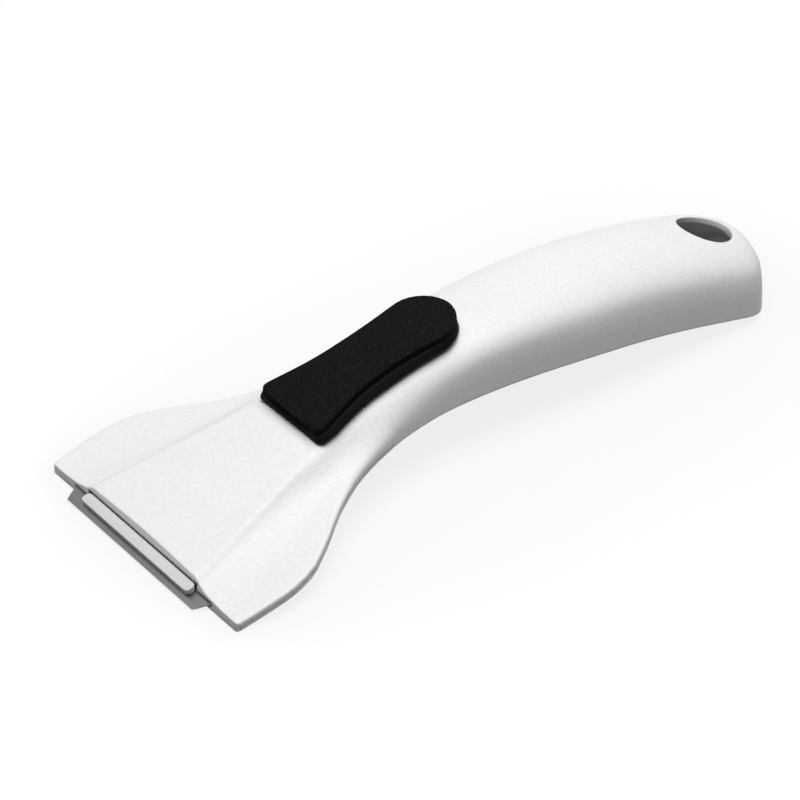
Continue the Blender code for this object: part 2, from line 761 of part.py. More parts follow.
def guide_rails(tools, frame):
    """Two rails that the tongue of the blade carrier runs between."""
    made = []
    for side, sign in (("left", -1), ("right", 1)):
        inner = TONGUE_WIDTH / 2 + RUN_GAP
        xs = sorted((sign * inner, sign * (inner + RAIL_WALL)))
        low = (xs[0], RAIL_START, under(RAIL_START) + COVER_RIM / 2)
        high = (xs[1], RAIL_END, rail_top())
        made.append(box(f"rail_{side}", low, high, tools, frame))
    return made


def rail_top():
    """The rails reach halfway up the tongue at their front end."""
    rise = (SLED_LOW + TONGUE_THICK / 2) / math.cos(UNDER_SLOPE)
    return RAIL_START * math.tan(UNDER_SLOPE) + rise


def screw_seats(tools, axes):
    """Countersunk holes in the cover."""
    wide = SCREW_HEAD_RADIUS + SCREW_CLEAR
    narrow = SCREW_RADIUS + SCREW_CLEAR
    profile = [
        (0.0, COVER_PLATE + OVERRUN),
        (narrow, COVER_PLATE + OVERRUN),
        (narrow, SCREW_HEAD_HEIGHT + SCREW_CLEAR),
        (wide, 2 * SCREW_CLEAR),
        (wide, -OVERRUN),
        (0.0, -OVERRUN),
    ]
    return [turned(f"seat_{side}", profile, tools, axis) for side, axis in axes.items()]


def cross_recess(screw, head_radius, face, tools, axis):
    """Cuts a cross recess for a screwdriver into the head's face, which looks down."""
    reach, half = head_radius * RECESS_REACH_SHARE, head_radius * RECESS_WIDTH_SHARE / 2
    for name, x, y in (("across", reach, half), ("along", half, reach)):
        low, high = (-x, -y, face - OVERRUN), (x, y, face + RECESS_DEPTH)
        cut(screw, box(f"{screw.name}_recess_{name}", low, high, tools, axis))
    return screw


def build_cover_screws(parts, tools, axes):
    """Three countersunk screws that hold the cover to the shell."""
    low = SCREW_CLEAR
    profile = [
        (0.0, SCREW_LENGTH),
        (SCREW_RADIUS / 3, SCREW_LENGTH),
        (SCREW_RADIUS, SCREW_LENGTH - SCREW_TIP),
        (SCREW_RADIUS, SCREW_HEAD_HEIGHT + low),
        (SCREW_HEAD_RADIUS, 2 * low),
        (SCREW_HEAD_RADIUS, low),
        (0.0, low),
    ]
    made = []
    for side, axis in axes.items():
        screw = turned(f"cover_screw_{side}", profile, parts, axis)
        made.append(cross_recess(screw, SCREW_HEAD_RADIUS, low, tools, axis))
    return made


def spring_seat():
    """Height of the cover's plate under the middle of the detent spring."""
    return under(SPRING_MIDDLE) + COVER_PLATE


def spring_rise():
    """Height of the detent spring's arch over its seat, up to the tongue."""
    tongue = (SLED_LOW + SPRING_LIFT) / math.cos(UNDER_SLOPE) + SPRING_MIDDLE * math.tan(UNDER_SLOPE)
    return (tongue - spring_seat()) * math.cos(under_slope(SPRING_MIDDLE)) - SEAT_GAP


def spring_top():
    """Distance along the head's slope from its front edge to the top of the detent spring."""
    slope = under_slope(SPRING_MIDDLE)
    y = SPRING_MIDDLE - spring_rise() * math.sin(slope)
    z = spring_seat() + spring_rise() * math.cos(slope)
    return y * math.cos(UNDER_SLOPE) + z * math.sin(UNDER_SLOPE)


def build_spring(parts, frame):
    """An arched steel strip that presses up into the notches of the carrier's tongue."""
    steps = 16
    sections = []
    for step in range(steps + 1):
        along = mix(-1.0, 1.0, step / steps)
        arch_share = (1 + math.cos(math.pi * along)) / 2
        low = mix(SEAT_GAP, spring_rise() + SEAT_GAP - SPRING_THICK, arch_share)
        high = low + SPRING_THICK
        s = along * SPRING_LENGTH / 2
        sections.append([Vector((x, s, z)) for x, z in (
            (SPRING_WIDTH / 2, low), (SPRING_WIDTH / 2, high),
            (-SPRING_WIDTH / 2, high), (-SPRING_WIDTH / 2, low),
        )])
    turn = Matrix.Rotation(under_slope(SPRING_MIDDLE), 4, "X")
    place = Matrix.Translation((0.0, SPRING_MIDDLE, spring_seat())) @ turn
    return loft("detent_spring", sections, parts, empty("spring_frame", parts, frame, place))


def build_blade(parts, tools, head):
    """The steel blade: two ground edges, clipped corners, peg holes and a slot."""
    half, front, rear = BLADE_WIDTH / 2, -BLADE_REACH, BLADE_DEPTH - BLADE_REACH
    middle = BLADE_LOW + BLADE_THICK / 2
    sections = []
    for x in (half, -half):
        sections.append([Vector((x, y, z)) for y, z in (
            (front, middle), (front + BLADE_BEVEL, BLADE_LOW), (rear - BLADE_BEVEL, BLADE_LOW),
            (rear, middle), (rear - BLADE_BEVEL, BLADE_TOP), (front + BLADE_BEVEL, BLADE_TOP),
        )])
    blade = loft("blade", sections, parts, head)
    outline = []
    for sign_x, sign_y in ((1, -1), (1, 1), (-1, 1), (-1, -1)):
        clip_x = half - BLADE_CLIP_WIDTH * (1 + OVERRUN / BLADE_CLIP_LENGTH)
        first = (sign_x * clip_x, PEG_MIDDLE + sign_y * (BLADE_DEPTH / 2 + OVERRUN))
        second = (sign_x * half, PEG_MIDDLE + sign_y * (BLADE_DEPTH / 2 - BLADE_CLIP_LENGTH))
        outline += [first, second] if sign_x * sign_y < 0 else [second, first]
    low, high = BLADE_LOW - OVERRUN, BLADE_TOP + OVERRUN
    join(blade, flat_piece("blade_outline", outline, low, high, tools, head), "INTERSECT")
    start, end = PEG_MIDDLE - BLADE_SLOT_WIDTH / 2, PEG_MIDDLE + BLADE_SLOT_WIDTH / 2
    slot = rounded_outline(BLADE_SLOT_LENGTH / 2, start, end, BLADE_SLOT_WIDTH * 0.49)
    cut(blade, flat_piece("blade_slot", slot, low, high, tools, head))
    return cut(blade, *peg_holes("blade", low, high, tools, head))


def peg_holes(owner, low, high, tools, head):
    """A clearance hole for each peg of the carrier."""
    made = []
    for side, sign in (("left", -1), ("right", 1)):
        centre = (sign * PEG_SPREAD / 2, PEG_MIDDLE)
        made.append(cylinder(f"{owner}_hole_{side}", centre, PEG_HOLE_RADIUS, low, high, tools, head))
    return made


def build_clamp(parts, tools, head):
    """The thin steel plate under the blade that keeps it on the pegs."""
    start = PEG_MIDDLE - CLAMP_DEPTH / 2
    outline = rounded_outline(PEG_SPREAD / 2 + CLAMP_MARGIN, start, start + CLAMP_DEPTH, CLAMP_CORNER)
    plate = flat_piece("blade_clamp", outline, CLAMP_LOW, CLAMP_LOW + CLAMP_THICK, parts, head)
    return cut(plate, *peg_holes("clamp", CLAMP_LOW - OVERRUN, CLAMP_LOW + OVERRUN, tools, head))


def build_carrier(parts, tools, head):
    """The moulded sled over the blade: a front bead, a tapered plate, ribs, a tongue and its eye."""
    front, rear = SLED_FRONT_WIDTH / 2, SLED_REAR_WIDTH / 2
    outline = [(front, 0.0), (rear, SLED_LENGTH), (-rear, SLED_LENGTH), (-front, 0.0)]
    carrier = flat_piece("blade_carrier", outline, SLED_LOW, SLED_LOW + SLED_THICK, parts, head)
    bead_end = BEAD_DEPTH - BEAD_FORWARD
    bead_outline = rounded_outline(BEAD_LENGTH / 2, -BEAD_FORWARD, bead_end, BEAD_CORNER)
    bead = flat_piece("bead", bead_outline, SLED_LOW, SLED_LOW + BEAD_HEIGHT, tools, head)
    soften(bead, BEAD_ROUND)
    add(carrier, bead, tongue_piece(tools, head), *sled_ribs(tools, head), *pegs(tools, head))
    cut(carrier, *detent_notches(tools, head), eye_slot(tools, head))
    return carrier


def tongue_piece(tools, head):
    """The tongue that reaches back under the slider, wider round its eye."""
    eye_start, eye_end = eye_middle() - eye_half() - EYE_WALL, eye_middle() + eye_half() + EYE_WALL
    half, wide = TONGUE_WIDTH / 2, EYE_WIDTH / 2
    start = SLED_LENGTH - OVERRUN
    outline = [
        (half, start), (half, eye_start - EYE_WALL), (wide, eye_start), (wide, eye_end),
        (-wide, eye_end), (-wide, eye_start), (-half, eye_start - EYE_WALL), (-half, start),
    ]
    return flat_piece("tongue", outline, SLED_LOW, SLED_LOW + TONGUE_THICK, tools, head)


def eye_middle():
    """Distance along the head's slope from its front edge to the middle of the slider's drive boss."""
    slope = crown_slope(STEM_CENTRE)
    depth = SHOE_TOP + SHOE_THICK + DRIVE_DEPTH / 2
    y = STEM_CENTRE + depth * math.sin(slope)
    z = crown(STEM_CENTRE) - depth * math.cos(slope)
    return y * math.cos(UNDER_SLOPE) + z * math.sin(UNDER_SLOPE)


def eye_half():
    """Half the length of the eye."""
    return DRIVE_RADIUS + RUN_GAP


def eye_slot(tools, head):
    """The eye in the tongue that the slider's drive boss sits in."""
    middle, half = eye_middle(), eye_half()
    outline = rounded_outline(half, middle - half, middle + half, half * 0.95)
    high = SLED_LOW + TONGUE_THICK + OVERRUN
    return flat_piece("eye_slot", outline, SLED_LOW - OVERRUN, high, tools, head)


def sled_ribs(tools, head):
    """Two ribs that stiffen the sled."""
    made = []
    for side, sign in (("left", -1), ("right", 1)):
        x = sign * RIB_SPREAD / 2
        low = (x - RIB_WALL / 2, RIB_SETBACK, SLED_LOW + SLED_THICK / 2)
        high = (x + RIB_WALL / 2, SLED_LENGTH, SLED_LOW + TONGUE_THICK)
        made.append(box(f"sled_rib_{side}", low, high, tools, head))
    return made


def pegs(tools, head):
    """Two pegs that pass down through the blade and its clamp plate."""
    made = []
    high = SLED_LOW + SLED_THICK / 2
    for side, sign in (("left", -1), ("right", 1)):
        centre = (sign * PEG_SPREAD / 2, PEG_MIDDLE)
        made.append(cylinder(f"peg_{side}", centre, PEG_RADIUS, CLAMP_LOW, high, tools, head))
    return made


def detent_notches(tools, head):
    """Notches under the tongue for the spring, at both ends of the travel, and a shallower way between."""
    middle = spring_top()
    half = SPRING_WIDTH / 2 + RUN_GAP
    made = []
    for name, y, depth, length in (
        ("front", middle, NOTCH_DEPTH, NOTCH_LENGTH),
        ("back", middle - TRAVEL, NOTCH_DEPTH, NOTCH_LENGTH),
        ("between", middle - TRAVEL / 2, NOTCH_DEPTH - NOTCH_RIDGE, TRAVEL),
    ):
        low = (-half, y - length / 2, SLED_LOW - OVERRUN)
        high = (half, y + length / 2, SLED_LOW + depth)
        made.append(box(f"notch_{name}", low, high, tools, head))
    return made


def slider_half(share):
    """Half the width of the slider's top at this share of its length, before its ends are rounded."""
    waist = SLIDER_WAIST_WIDTH / 2
    if share < SLIDER_SHARES[-1][0]:
        return mix(waist, SLIDER_FRONT_WIDTH / 2, follow(SLIDER_SHARES, share))
    return mix(waist, SLIDER_HEEL_WIDTH / 2, follow(HEEL_SHARES, share))


def slider_places():
    """Places along the slider, closer round its front corners and its heel."""
    heel = SLIDER_HEEL_WIDTH / 2
    front = [SLIDER_CORNER * (1 - math.cos(math.pi / 8 * step)) for step in range(4)]
    return front + stations(SLIDER_CORNER, SLIDER_LENGTH, 20, heel, END_STEPS)


def slider_sections(low, high, grow_low, grow_high, rounding):
    """Sections of a slider layer on the crown, between two heights, each with its own growth outwards."""
    heel = SLIDER_HEEL_WIDTH / 2
    sections = []
    for along in slider_places():
        share = along / SLIDER_LENGTH
        half = slider_half(share) - end_share(SLIDER_LENGTH - along, SLIDER_LENGTH, SLIDER_CORNER)
        half *= 1 - end_share(along, SLIDER_LENGTH, heel) / heel
        half = max(half, rounding)
        spread = follow(FLARE_GROW_SHARES, share)
        corners = [
            Vector((half + grow_low * spread, low)),
            Vector((half + grow_high * spread, high)),
            Vector((0.0, high)),
        ]
        cuts = [rounding, half / 2]
        path = rounded_path(mirrored(corners), cuts + cuts[-2::-1])
        section = []
        for p in path:
            grow = mix(grow_low, grow_high, (p.y - low) / (high - low)) * spread
            ends = HEEL_FLARE_SHARE * ease(2 * share - 1) - FRONT_FLARE_SHARE * ease(1 - 2 * share)
            bow = (SLIDER_BOW + BASE_BOW * max(0.0, grow) / BASE_FLARE) * ease(1 - 4 * share)
            y = SLIDER_START + along + grow * ends - bow * (1 - (p.x / (SLIDER_FRONT_WIDTH / 2)) ** 2)
            section.append(Vector((p.x, y, crown(y) + p.y)))
        sections.append(section)
    return sections


def build_slider(parts, tools, frame, stem):
    """The slider's hard base, with the stem that runs in the slot, and the soft pad on it."""
    top = RUN_GAP + BASE_THICK
    base = loft(
        "thumb_slider", slider_sections(RUN_GAP, top, BASE_FLARE, BASE_STEP, BASE_ROUND), parts, frame
    )
    half_length = STEM_LENGTH / 2
    outline = rounded_outline(STEM_WIDTH / 2, -half_length, half_length, STEM_WIDTH * 0.45)
    low = SEAT_GAP - SHOE_TOP
    add(base, flat_piece("stem", outline, low, RUN_GAP + BASE_THICK / 2, tools, stem))
    pilot = cylinder(
        "pilot", (0.0, 0.0), SCREW_RADIUS + SCREW_CLEAR, low - OVERRUN, top - BASE_ROUND, tools, stem
    )
    cut(base, pilot)
    pad = loft(
        "thumb_pad",
        slider_sections(top + SEAT_GAP, top + SEAT_GAP + PAD_THICK, -PAD_UNDERCUT, 0.0, PAD_ROUND),
        parts, frame,
    )
    return base, pad


def build_shoe(parts, tools, stem):
    """The shoe under the roof that holds the slider down and drives the blade carrier."""
    top = -SHOE_TOP
    low = top - SHOE_THICK
    outline = rounded_outline(SHOE_WIDTH / 2, -SHOE_LENGTH / 2, SHOE_LENGTH / 2, SHOE_CORNER)
    shoe = flat_piece("slider_shoe", outline, low, top, parts, stem)
    boss_low = low - DRIVE_DEPTH
    axis = (0.0, 0.0)
    add(shoe, cylinder("drive_boss", axis, DRIVE_RADIUS, boss_low, low + SHOE_THICK / 2, tools, stem))
    seat = boss_low + SHOE_SCREW_HEIGHT + SCREW_CLEAR
    wide, narrow = SHOE_SCREW_HEAD + SCREW_CLEAR, SCREW_RADIUS + SCREW_CLEAR
    counterbore = cylinder("shoe_counterbore", axis, wide, boss_low - OVERRUN, seat, tools, stem)
    passage = cylinder("shoe_passage", axis, narrow, boss_low, top + OVERRUN, tools, stem)
    return cut(shoe, counterbore, passage)


def build_shoe_screw(parts, tools, stem):
    """The pan-head screw that holds the shoe to the slider's stem."""
    seat = -SHOE_TOP - SHOE_THICK - DRIVE_DEPTH + SHOE_SCREW_HEIGHT + SCREW_CLEAR - SEAT_GAP
    tip = seat + SHOE_SCREW_LENGTH
    profile = [
        (0.0, tip),
        (SCREW_RADIUS / 3, tip),
        (SCREW_RADIUS, tip - SCREW_TIP),
        (SCREW_RADIUS, seat),
        (SHOE_SCREW_HEAD, seat),
        (SHOE_SCREW_HEAD, seat - SHOE_SCREW_HEIGHT / 2),
        (SHOE_SCREW_HEAD * 0.8, seat - SHOE_SCREW_HEIGHT),
        (0.0, seat - SHOE_SCREW_HEIGHT),
    ]
    screw = turned("slider_screw", profile, parts, stem)
    return cross_recess(screw, SHOE_SCREW_HEAD, seat - SHOE_SCREW_HEIGHT, tools, stem)


def white_plastic():
    """Glossy white ABS of the shell, its cover and the blade carrier."""
    return material("white_plastic", (0.86, 0.86, 0.86), 0.42)


def black_plastic():
    """Hard black plastic of the slider and its shoe."""
    return material("black_plastic", (0.012, 0.012, 0.012), 0.4)


def black_soft_plastic():
    """Soft black plastic of the thumb pad."""
    return material("black_soft_plastic", (0.02, 0.02, 0.02), 0.75)


def blade_steel():
    """Rolled spring steel."""
    return material("blade_steel", (0.55, 0.55, 0.56), 0.32, 1.0)


def zinc_plated_steel():
    """Bright zinc on the screws."""
    return material("zinc_plated_steel", (0.62, 0.62, 0.63), 0.38, 1.0)


def main():
    """Builds the scraper."""
    clear_scene()
    parts = new_collection("hob_scraper")
    tools = new_collection("cutters")
    frame = empty("scraper_frame", parts, None, Matrix.Translation((0.0, -MIDDLE_Y, 0.0)))
    axes = screw_frames(parts, frame)
    head = empty("head_frame", parts, frame, Matrix.Rotation(UNDER_SLOPE, 4, "X"))
    carriage = empty("carriage_slide", parts, head, Matrix.Identity(4))
    centre = Vector((0.0, CROWN_CENTRE_Y, CROWN_CENTRE_Z))
    swing = empty("slider_swing", parts, frame, Matrix.Translation(centre))
    thumb = empty("slider_frame", parts, swing, Matrix.Translation(-centre))
    stem_place = Matrix.Translation((0.0, STEM_CENTRE, crown(STEM_CENTRE)))
    stem_turn = Matrix.Rotation(crown_slope(STEM_CENTRE), 4, "X")
    stem = empty("stem_frame", parts, thumb, stem_place @ stem_turn)

    shell = build_shell(parts, tools, frame, head, stem, axes)
    cover = build_cover(parts, tools, frame, axes)
    carrier = build_carrier(parts, tools, carriage)
    blade = build_blade(parts, tools, carriage)
    clamp = build_clamp(parts, tools, carriage)
    spring = build_spring(parts, frame)
    base, pad = build_slider(parts, tools, thumb, stem)
    shoe = build_shoe(parts, tools, stem)
    screws = build_cover_screws(parts, tools, axes) + [build_shoe_screw(parts, tools, stem)]

    finishes = (
        (white_plastic(), (shell, cover, carrier)),
        (black_plastic(), (base, shoe)),
        (black_soft_plastic(), (pad,)),
        (blade_steel(), (blade, clamp, spring)),
        (zinc_plated_steel(), screws),
    )
    for finish, objects in finishes:
        for obj in objects:
            obj.data.materials.append(finish)
    for tool in tools.objects:
        tool.hide_render = True
        tool.display_type = "WIRE"


main()
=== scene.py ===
"""Looks for the hob scraper: finishes, smoothed pieces, studio light and the camera."""

import json
import math

import bmesh
import bpy
from mathutils import Matrix, Vector
from mathutils.bvhtree import BVHTree

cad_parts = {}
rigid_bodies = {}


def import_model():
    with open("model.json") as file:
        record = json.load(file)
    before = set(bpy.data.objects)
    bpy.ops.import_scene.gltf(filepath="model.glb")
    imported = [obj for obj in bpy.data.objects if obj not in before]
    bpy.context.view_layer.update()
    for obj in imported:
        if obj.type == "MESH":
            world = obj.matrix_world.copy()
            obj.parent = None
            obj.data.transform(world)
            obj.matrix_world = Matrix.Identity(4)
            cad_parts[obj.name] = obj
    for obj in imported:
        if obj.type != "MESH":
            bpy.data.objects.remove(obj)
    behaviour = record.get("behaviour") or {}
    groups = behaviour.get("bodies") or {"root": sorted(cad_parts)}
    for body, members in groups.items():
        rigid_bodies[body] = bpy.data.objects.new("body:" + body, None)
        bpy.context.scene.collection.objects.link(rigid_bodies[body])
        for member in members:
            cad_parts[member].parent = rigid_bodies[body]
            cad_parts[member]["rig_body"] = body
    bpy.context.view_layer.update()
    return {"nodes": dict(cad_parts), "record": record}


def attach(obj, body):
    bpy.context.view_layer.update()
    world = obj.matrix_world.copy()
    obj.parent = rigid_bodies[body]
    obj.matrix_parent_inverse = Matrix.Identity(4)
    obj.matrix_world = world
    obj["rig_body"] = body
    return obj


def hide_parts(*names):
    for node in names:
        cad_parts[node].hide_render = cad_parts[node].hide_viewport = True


MM = 0.001
UP = Vector((0.0, 0.0, 1.0))
SAME_PLACE = 0.01 * MM

# Camera
CAMERA_AZIMUTH = math.radians(52.017)
CAMERA_ELEVATION = math.radians(35.696)
CAMERA_ROLL = math.radians(0.194)
CAMERA_DISTANCE = 576.66 * MM
CAMERA_TARGET = Vector((0.0, -11.622, 7.265)) * MM
CAMERA_LENS = 138.41
CAMERA_NEAR = 10 * MM
CAMERA_FAR = 10.0
SENSOR_WIDTH = 36.0

# Studio: a dim world and one large lamp, almost straight above
WORLD_STRENGTH = 0.02
LAMP_AZIMUTH = math.radians(75.0)
LAMP_ELEVATION = math.radians(87.5)
LAMP_DISTANCE = 1.0
LAMP_SIDE = 0.9
LAMP_POWER = 13.2
LAMP_TARGET = Vector((0.0, 0.0, 0.01))

# Floor: what the object sees of it, and what the camera sees, which is its glow plus a weak shadow
FLOOR_HALF_SIZE = 3.0
FLOOR_COLOUR = 0.28
FLOOR_MOTTLE = 0.01
FLOOR_FIBRE_SCALE = 400.0
FLOOR_SHADE = 0.1
FLOOR_GLOW = 0.905

# Painted shadow: a faint grey halo on the floor round the object
SHADOW_HALO_REACH = 50 * MM
SHADOW_HALO_FULL = 0.92
SHADOW_HALO_DEPTH = 0.065

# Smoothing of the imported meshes
WELD = 0.002 * MM
SLIVER = 0.02 * MM
FLAT_ANGLE = math.radians(0.05)
FLAT_FACE_WEIGHT = 60
PLAIN_SHARP_ANGLE = math.radians(33)
SHARP_ANGLE = {
    "blade": math.radians(4),
    "top_housing": math.radians(28),
    "bottom_cover": math.radians(20),
}

# Ends of the cover's rim, and the growth that closes the seam in front of them
RIM_END_Y = -23.528 * MM
RIM_END_X = 10.5 * MM
RIM_GROWTH = Vector((-0.085, 0.34, 0.04)) * MM

# Ends of the cover's guide rails, whose lower corners stick out of its underside in the solids
RAIL_END_Y = -24.228 * MM
RAIL_REACH = 9.5 * MM

# Crease beside the head's plateau. Its line, seen from above, starts at X, Y and tapers inwards.
CREASE_X = 16.7 * MM
CREASE_Y = -70.228 * MM
CREASE_TAPER = -0.2186
# Depth of the crease, and how far outside its line it is deepest, at the mouth and at the slider
CREASE_DEPTH = (0.44 * MM, 0.42 * MM)
CREASE_LOW = (1.5 * MM, 1.4 * MM)
# Where the lowered band starts and ends across the line
CREASE_START = -0.5 * MM
CREASE_END = 6.0 * MM
# Along the head: where it starts, is full, begins to fade and has faded
CREASE_FADES = (-73.5 * MM, -70.5 * MM, -46.0 * MM, -37.0 * MM)
# Cuts beside the line and across it, in mm
CREASE_CUTS = (-0.5, 0.0, 0.4, 0.8, 1.2, 1.6, 2.0, 2.4, 3.2, 4.0, 5.0, 6.0, 7.5)
CREASE_CROSS_CUTS = (-73.0, -72.2, -71.4, *range(-70, -36, 3))
CUT_SNAP = 0.001 * MM
FACING_UP = 0.5
RAY_CLEARANCE = 0.05 * MM

# White plastic, with painted shade: a darker copy for the carrier, and darker colour in the hollows
# than on the outside
WHITE = ((0.77, 0.77, 0.775), (0.89, 0.89, 0.89))
# Painted shade: the carrier's white is a darker copy of the same plastic
CARRIER_SHADED_WHITE = ((0.54, 0.54, 0.545), (0.66, 0.66, 0.66))
WHITE_EDGE = 0.5 * MM
CARRIER_EDGE = 0.3 * MM
# Painted shade inside the hollows: its colour, how far the occlusion looks, and where it starts and
# is full
HOLLOW_PAINTED_SHADE = (0.26, 0.26, 0.263)
HOLLOW_SHADE_REACH = 16 * MM
HOLLOW_SHADE_FULL = 0.58
HOLLOW_SHADE_NONE = 0.86

# Samples for rounded edges and for how open a hollow is
NEAR_SAMPLES = 6


def basis(azimuth, elevation):
    """Right, up and backward directions of a camera that looks from this azimuth and elevation."""
    back = Vector((
        math.sin(azimuth) * math.cos(elevation),
        -math.cos(azimuth) * math.cos(elevation),
        math.sin(elevation),
    ))
    right = Vector((math.cos(azimuth), math.sin(azimuth), 0.0))
    return right, back.cross(right), back


def placed(right, up, back, target, distance):
    """The matrix of a camera or lamp that looks at a target from a distance."""
    turn = Matrix((right, up, back)).transposed().to_4x4()
    return Matrix.Translation(target + back * distance) @ turn


def put_in_scene(name, data):
    """A new object in the scene."""
    made = bpy.data.objects.new(name, data)
    bpy.context.scene.collection.objects.link(made)
    return made


def place_camera():
    """The camera at the photograph's viewing angle."""
    right, up, back = basis(CAMERA_AZIMUTH, CAMERA_ELEVATION)
    turned_right = right * math.cos(CAMERA_ROLL) + up * math.sin(CAMERA_ROLL)
    turned_up = up * math.cos(CAMERA_ROLL) - right * math.sin(CAMERA_ROLL)
    data = bpy.data.cameras.new("camera")
    data.sensor_fit = "HORIZONTAL"
    data.sensor_width = SENSOR_WIDTH
    data.lens = CAMERA_LENS
    data.clip_start = CAMERA_NEAR
    data.clip_end = CAMERA_FAR
    camera = put_in_scene("camera", data)
    camera.matrix_world = placed(turned_right, turned_up, back, CAMERA_TARGET, CAMERA_DISTANCE)
    bpy.context.scene.camera = camera


def overhead_lamp():
    """A square area lamp that faces the object."""
    data = bpy.data.lights.new("overhead", "AREA")
    data.shape = "RECTANGLE"
    data.size = data.size_y = LAMP_SIDE
    data.energy = LAMP_POWER
    lamp = put_in_scene("overhead", data)
    lamp.matrix_world = placed(*basis(LAMP_AZIMUTH, LAMP_ELEVATION), LAMP_TARGET, LAMP_DISTANCE)


class Tree:
    """A short way to write a node tree."""

    def __init__(self, tree):
        self.tree = tree

    def link(self, source, socket):
        self.tree.links.new(source, socket)

    def add(self, kind, links=None, **values):
        """A node, with values for its own settings or its inputs, and links to its inputs."""
        node = self.tree.nodes.new(kind)
        for key, value in values.items():
            if hasattr(node, key):
                setattr(node, key, value)
            else:
                node.inputs[key.replace("_", " ")].default_value = value
        for key, source in (links or {}).items():
            self.link(source, node.inputs[key])
        return node

    def ranged(self, source, low=0.0, high=1.0, to_low=0.0, to_high=1.0):
        """A value moved from one range to another, and kept within it."""
        node = self.add(
            "ShaderNodeMapRange", {"Value": source},
            From_Min=low, From_Max=high, To_Min=to_low, To_Max=to_high,
        )
        return node.outputs["Result"]

    def math(self, operation, first, second):
        """A sum on two values, each a socket or a number."""
        node = self.add("ShaderNodeMath", operation=operation)
        for socket, value in zip(node.inputs, (first, second)):
            if isinstance(value, float):
                socket.default_value = value
            else:
                self.link(value, socket)
        return node.outputs["Value"]

    def seen_directly(self):
        """1 for rays from the camera, and for those that glossy or clear surfaces send on."""
        path = self.add("ShaderNodeLightPath")
        level = path.outputs["Is Camera Ray"]
        for name in ("Is Glossy Ray", "Is Transmission Ray"):
            level = self.math("MAXIMUM", level, path.outputs[name])
        return level


class Look(Tree):
    """A material on Blender's principled shader."""

    def __init__(self, name):
        self.made = bpy.data.materials.new(name)
        self.made.use_nodes = True
        super().__init__(self.made.node_tree)
        self.shader = self.tree.nodes["Principled BSDF"]
        self.place = self.add("ShaderNodeTexCoord").outputs["Object"]

    def noise(self, scale, detail=3.0, roughness=0.5, source=None):
        node = self.add(
            "ShaderNodeTexNoise", {"Vector": source or self.place},
            Scale=scale, Detail=detail, Roughness=roughness,
        )
        return node.outputs["Fac"]

    def stretched_noise(self, scales, detail, roughness):
        """Noise with a scale of its own along each axis."""
        mapping = self.add("ShaderNodeMapping", {"Vector": self.place}, Scale=scales)
        return self.noise(1.0, detail, roughness, mapping.outputs["Vector"])

    def mix(self, factor, first, second):
        """A colour between two, by a factor socket."""
        node = self.tree.nodes.new("ShaderNodeMix")
        node.data_type = "RGBA"
        self.link(factor, node.inputs[0])
        for socket, value in ((node.inputs[6], first), (node.inputs[7], second)):
            if isinstance(value, tuple):
                socket.default_value = (*value, 1.0)
            else:
                self.link(value, socket)
        return node.outputs[2]

    def bump(self, height, distance, strength=1.0, normal=None):
        links = {"Height": height}
        if normal is not None:
            links["Normal"] = normal
        node = self.add("ShaderNodeBump", links, Distance=distance, Strength=strength)
        return node.outputs["Normal"]

    def rounded(self, radius):
        """Normals that round the edges by this radius."""
        node = self.add("ShaderNodeBevel", samples=NEAR_SAMPLES, Radius=radius)
        return node.outputs["Normal"]

    def openness(self, reach):
        """How open the piece is round a point: 1 outside, and less inside its hollows."""
        node = self.add(
            "ShaderNodeAmbientOcclusion", samples=NEAR_SAMPLES, only_local=True, Distance=reach,
        )
        return node.outputs["AO"]

    def feed(self, **sources):
        """Links or sets the shader's own sockets, and gives the material."""
        for key, value in sources.items():
            socket = self.shader.inputs[key.replace("_", " ")]
            if isinstance(value, float):
                socket.default_value = value
            else:
                self.link(value, socket)
        return self.made


def white_plastic(name, shades, edge_radius):
    """Moulded white: a finely flecked colour, a fine spark grain and long soft flow marks, with
    painted shade in the hollows.
    """
    n = Look(name)
    speck = n.stretched_noise((2600.0, 1100.0, 2600.0), detail=2.0, roughness=0.6)
    fleck = n.ranged(speck, 0.35, 0.65)
    patch = n.noise(60.0, detail=4.0, roughness=0.55)
    cloud = n.math("MULTIPLY", n.math("ADD", fleck, patch), 0.5)
    # Painted shade: inside the piece's hollows the colour darkens towards the hollow shade colour
    outside = n.ranged(n.openness(HOLLOW_SHADE_REACH), HOLLOW_SHADE_FULL, HOLLOW_SHADE_NONE)
    colour = n.mix(outside, HOLLOW_PAINTED_SHADE, n.mix(cloud, *shades))
    grain = n.stretched_noise((3400.0, 1900.0, 3400.0), detail=2.0, roughness=0.6)
    flow = n.stretched_noise((260.0, 45.0, 260.0), detail=3.0, roughness=0.5)
    fine = n.bump(grain, 0.036 * MM, strength=0.9, normal=n.rounded(edge_radius))
    normal = n.bump(flow, 0.05 * MM, strength=0.35, normal=fine)
    rough = n.ranged(n.noise(240.0, detail=4.0, roughness=0.6), 0.3, 0.7, to_low=0.36, to_high=0.46)
    return n.feed(Base_Color=colour, Roughness=rough, Normal=normal, Specular_IOR_Level=0.3)


def black_plastic():
    """Hard black: smooth with a very fine grain."""
    n = Look("black_plastic_look")
    patch = n.noise(300.0, detail=4.0, roughness=0.6)
    colour = n.mix(patch, (0.0055, 0.0055, 0.0056), (0.0085, 0.0085, 0.0086))
    grain = n.noise(4200.0, detail=2.0, roughness=0.6)
    normal = n.bump(grain, 0.01 * MM, strength=0.5, normal=n.rounded(0.2 * MM))
    rough = n.ranged(n.noise(260.0, detail=4.0, roughness=0.6), 0.3, 0.7, to_low=0.3, to_high=0.42)
    return n.feed(Base_Color=colour, Roughness=rough, Normal=normal, Specular_IOR_Level=0.02)


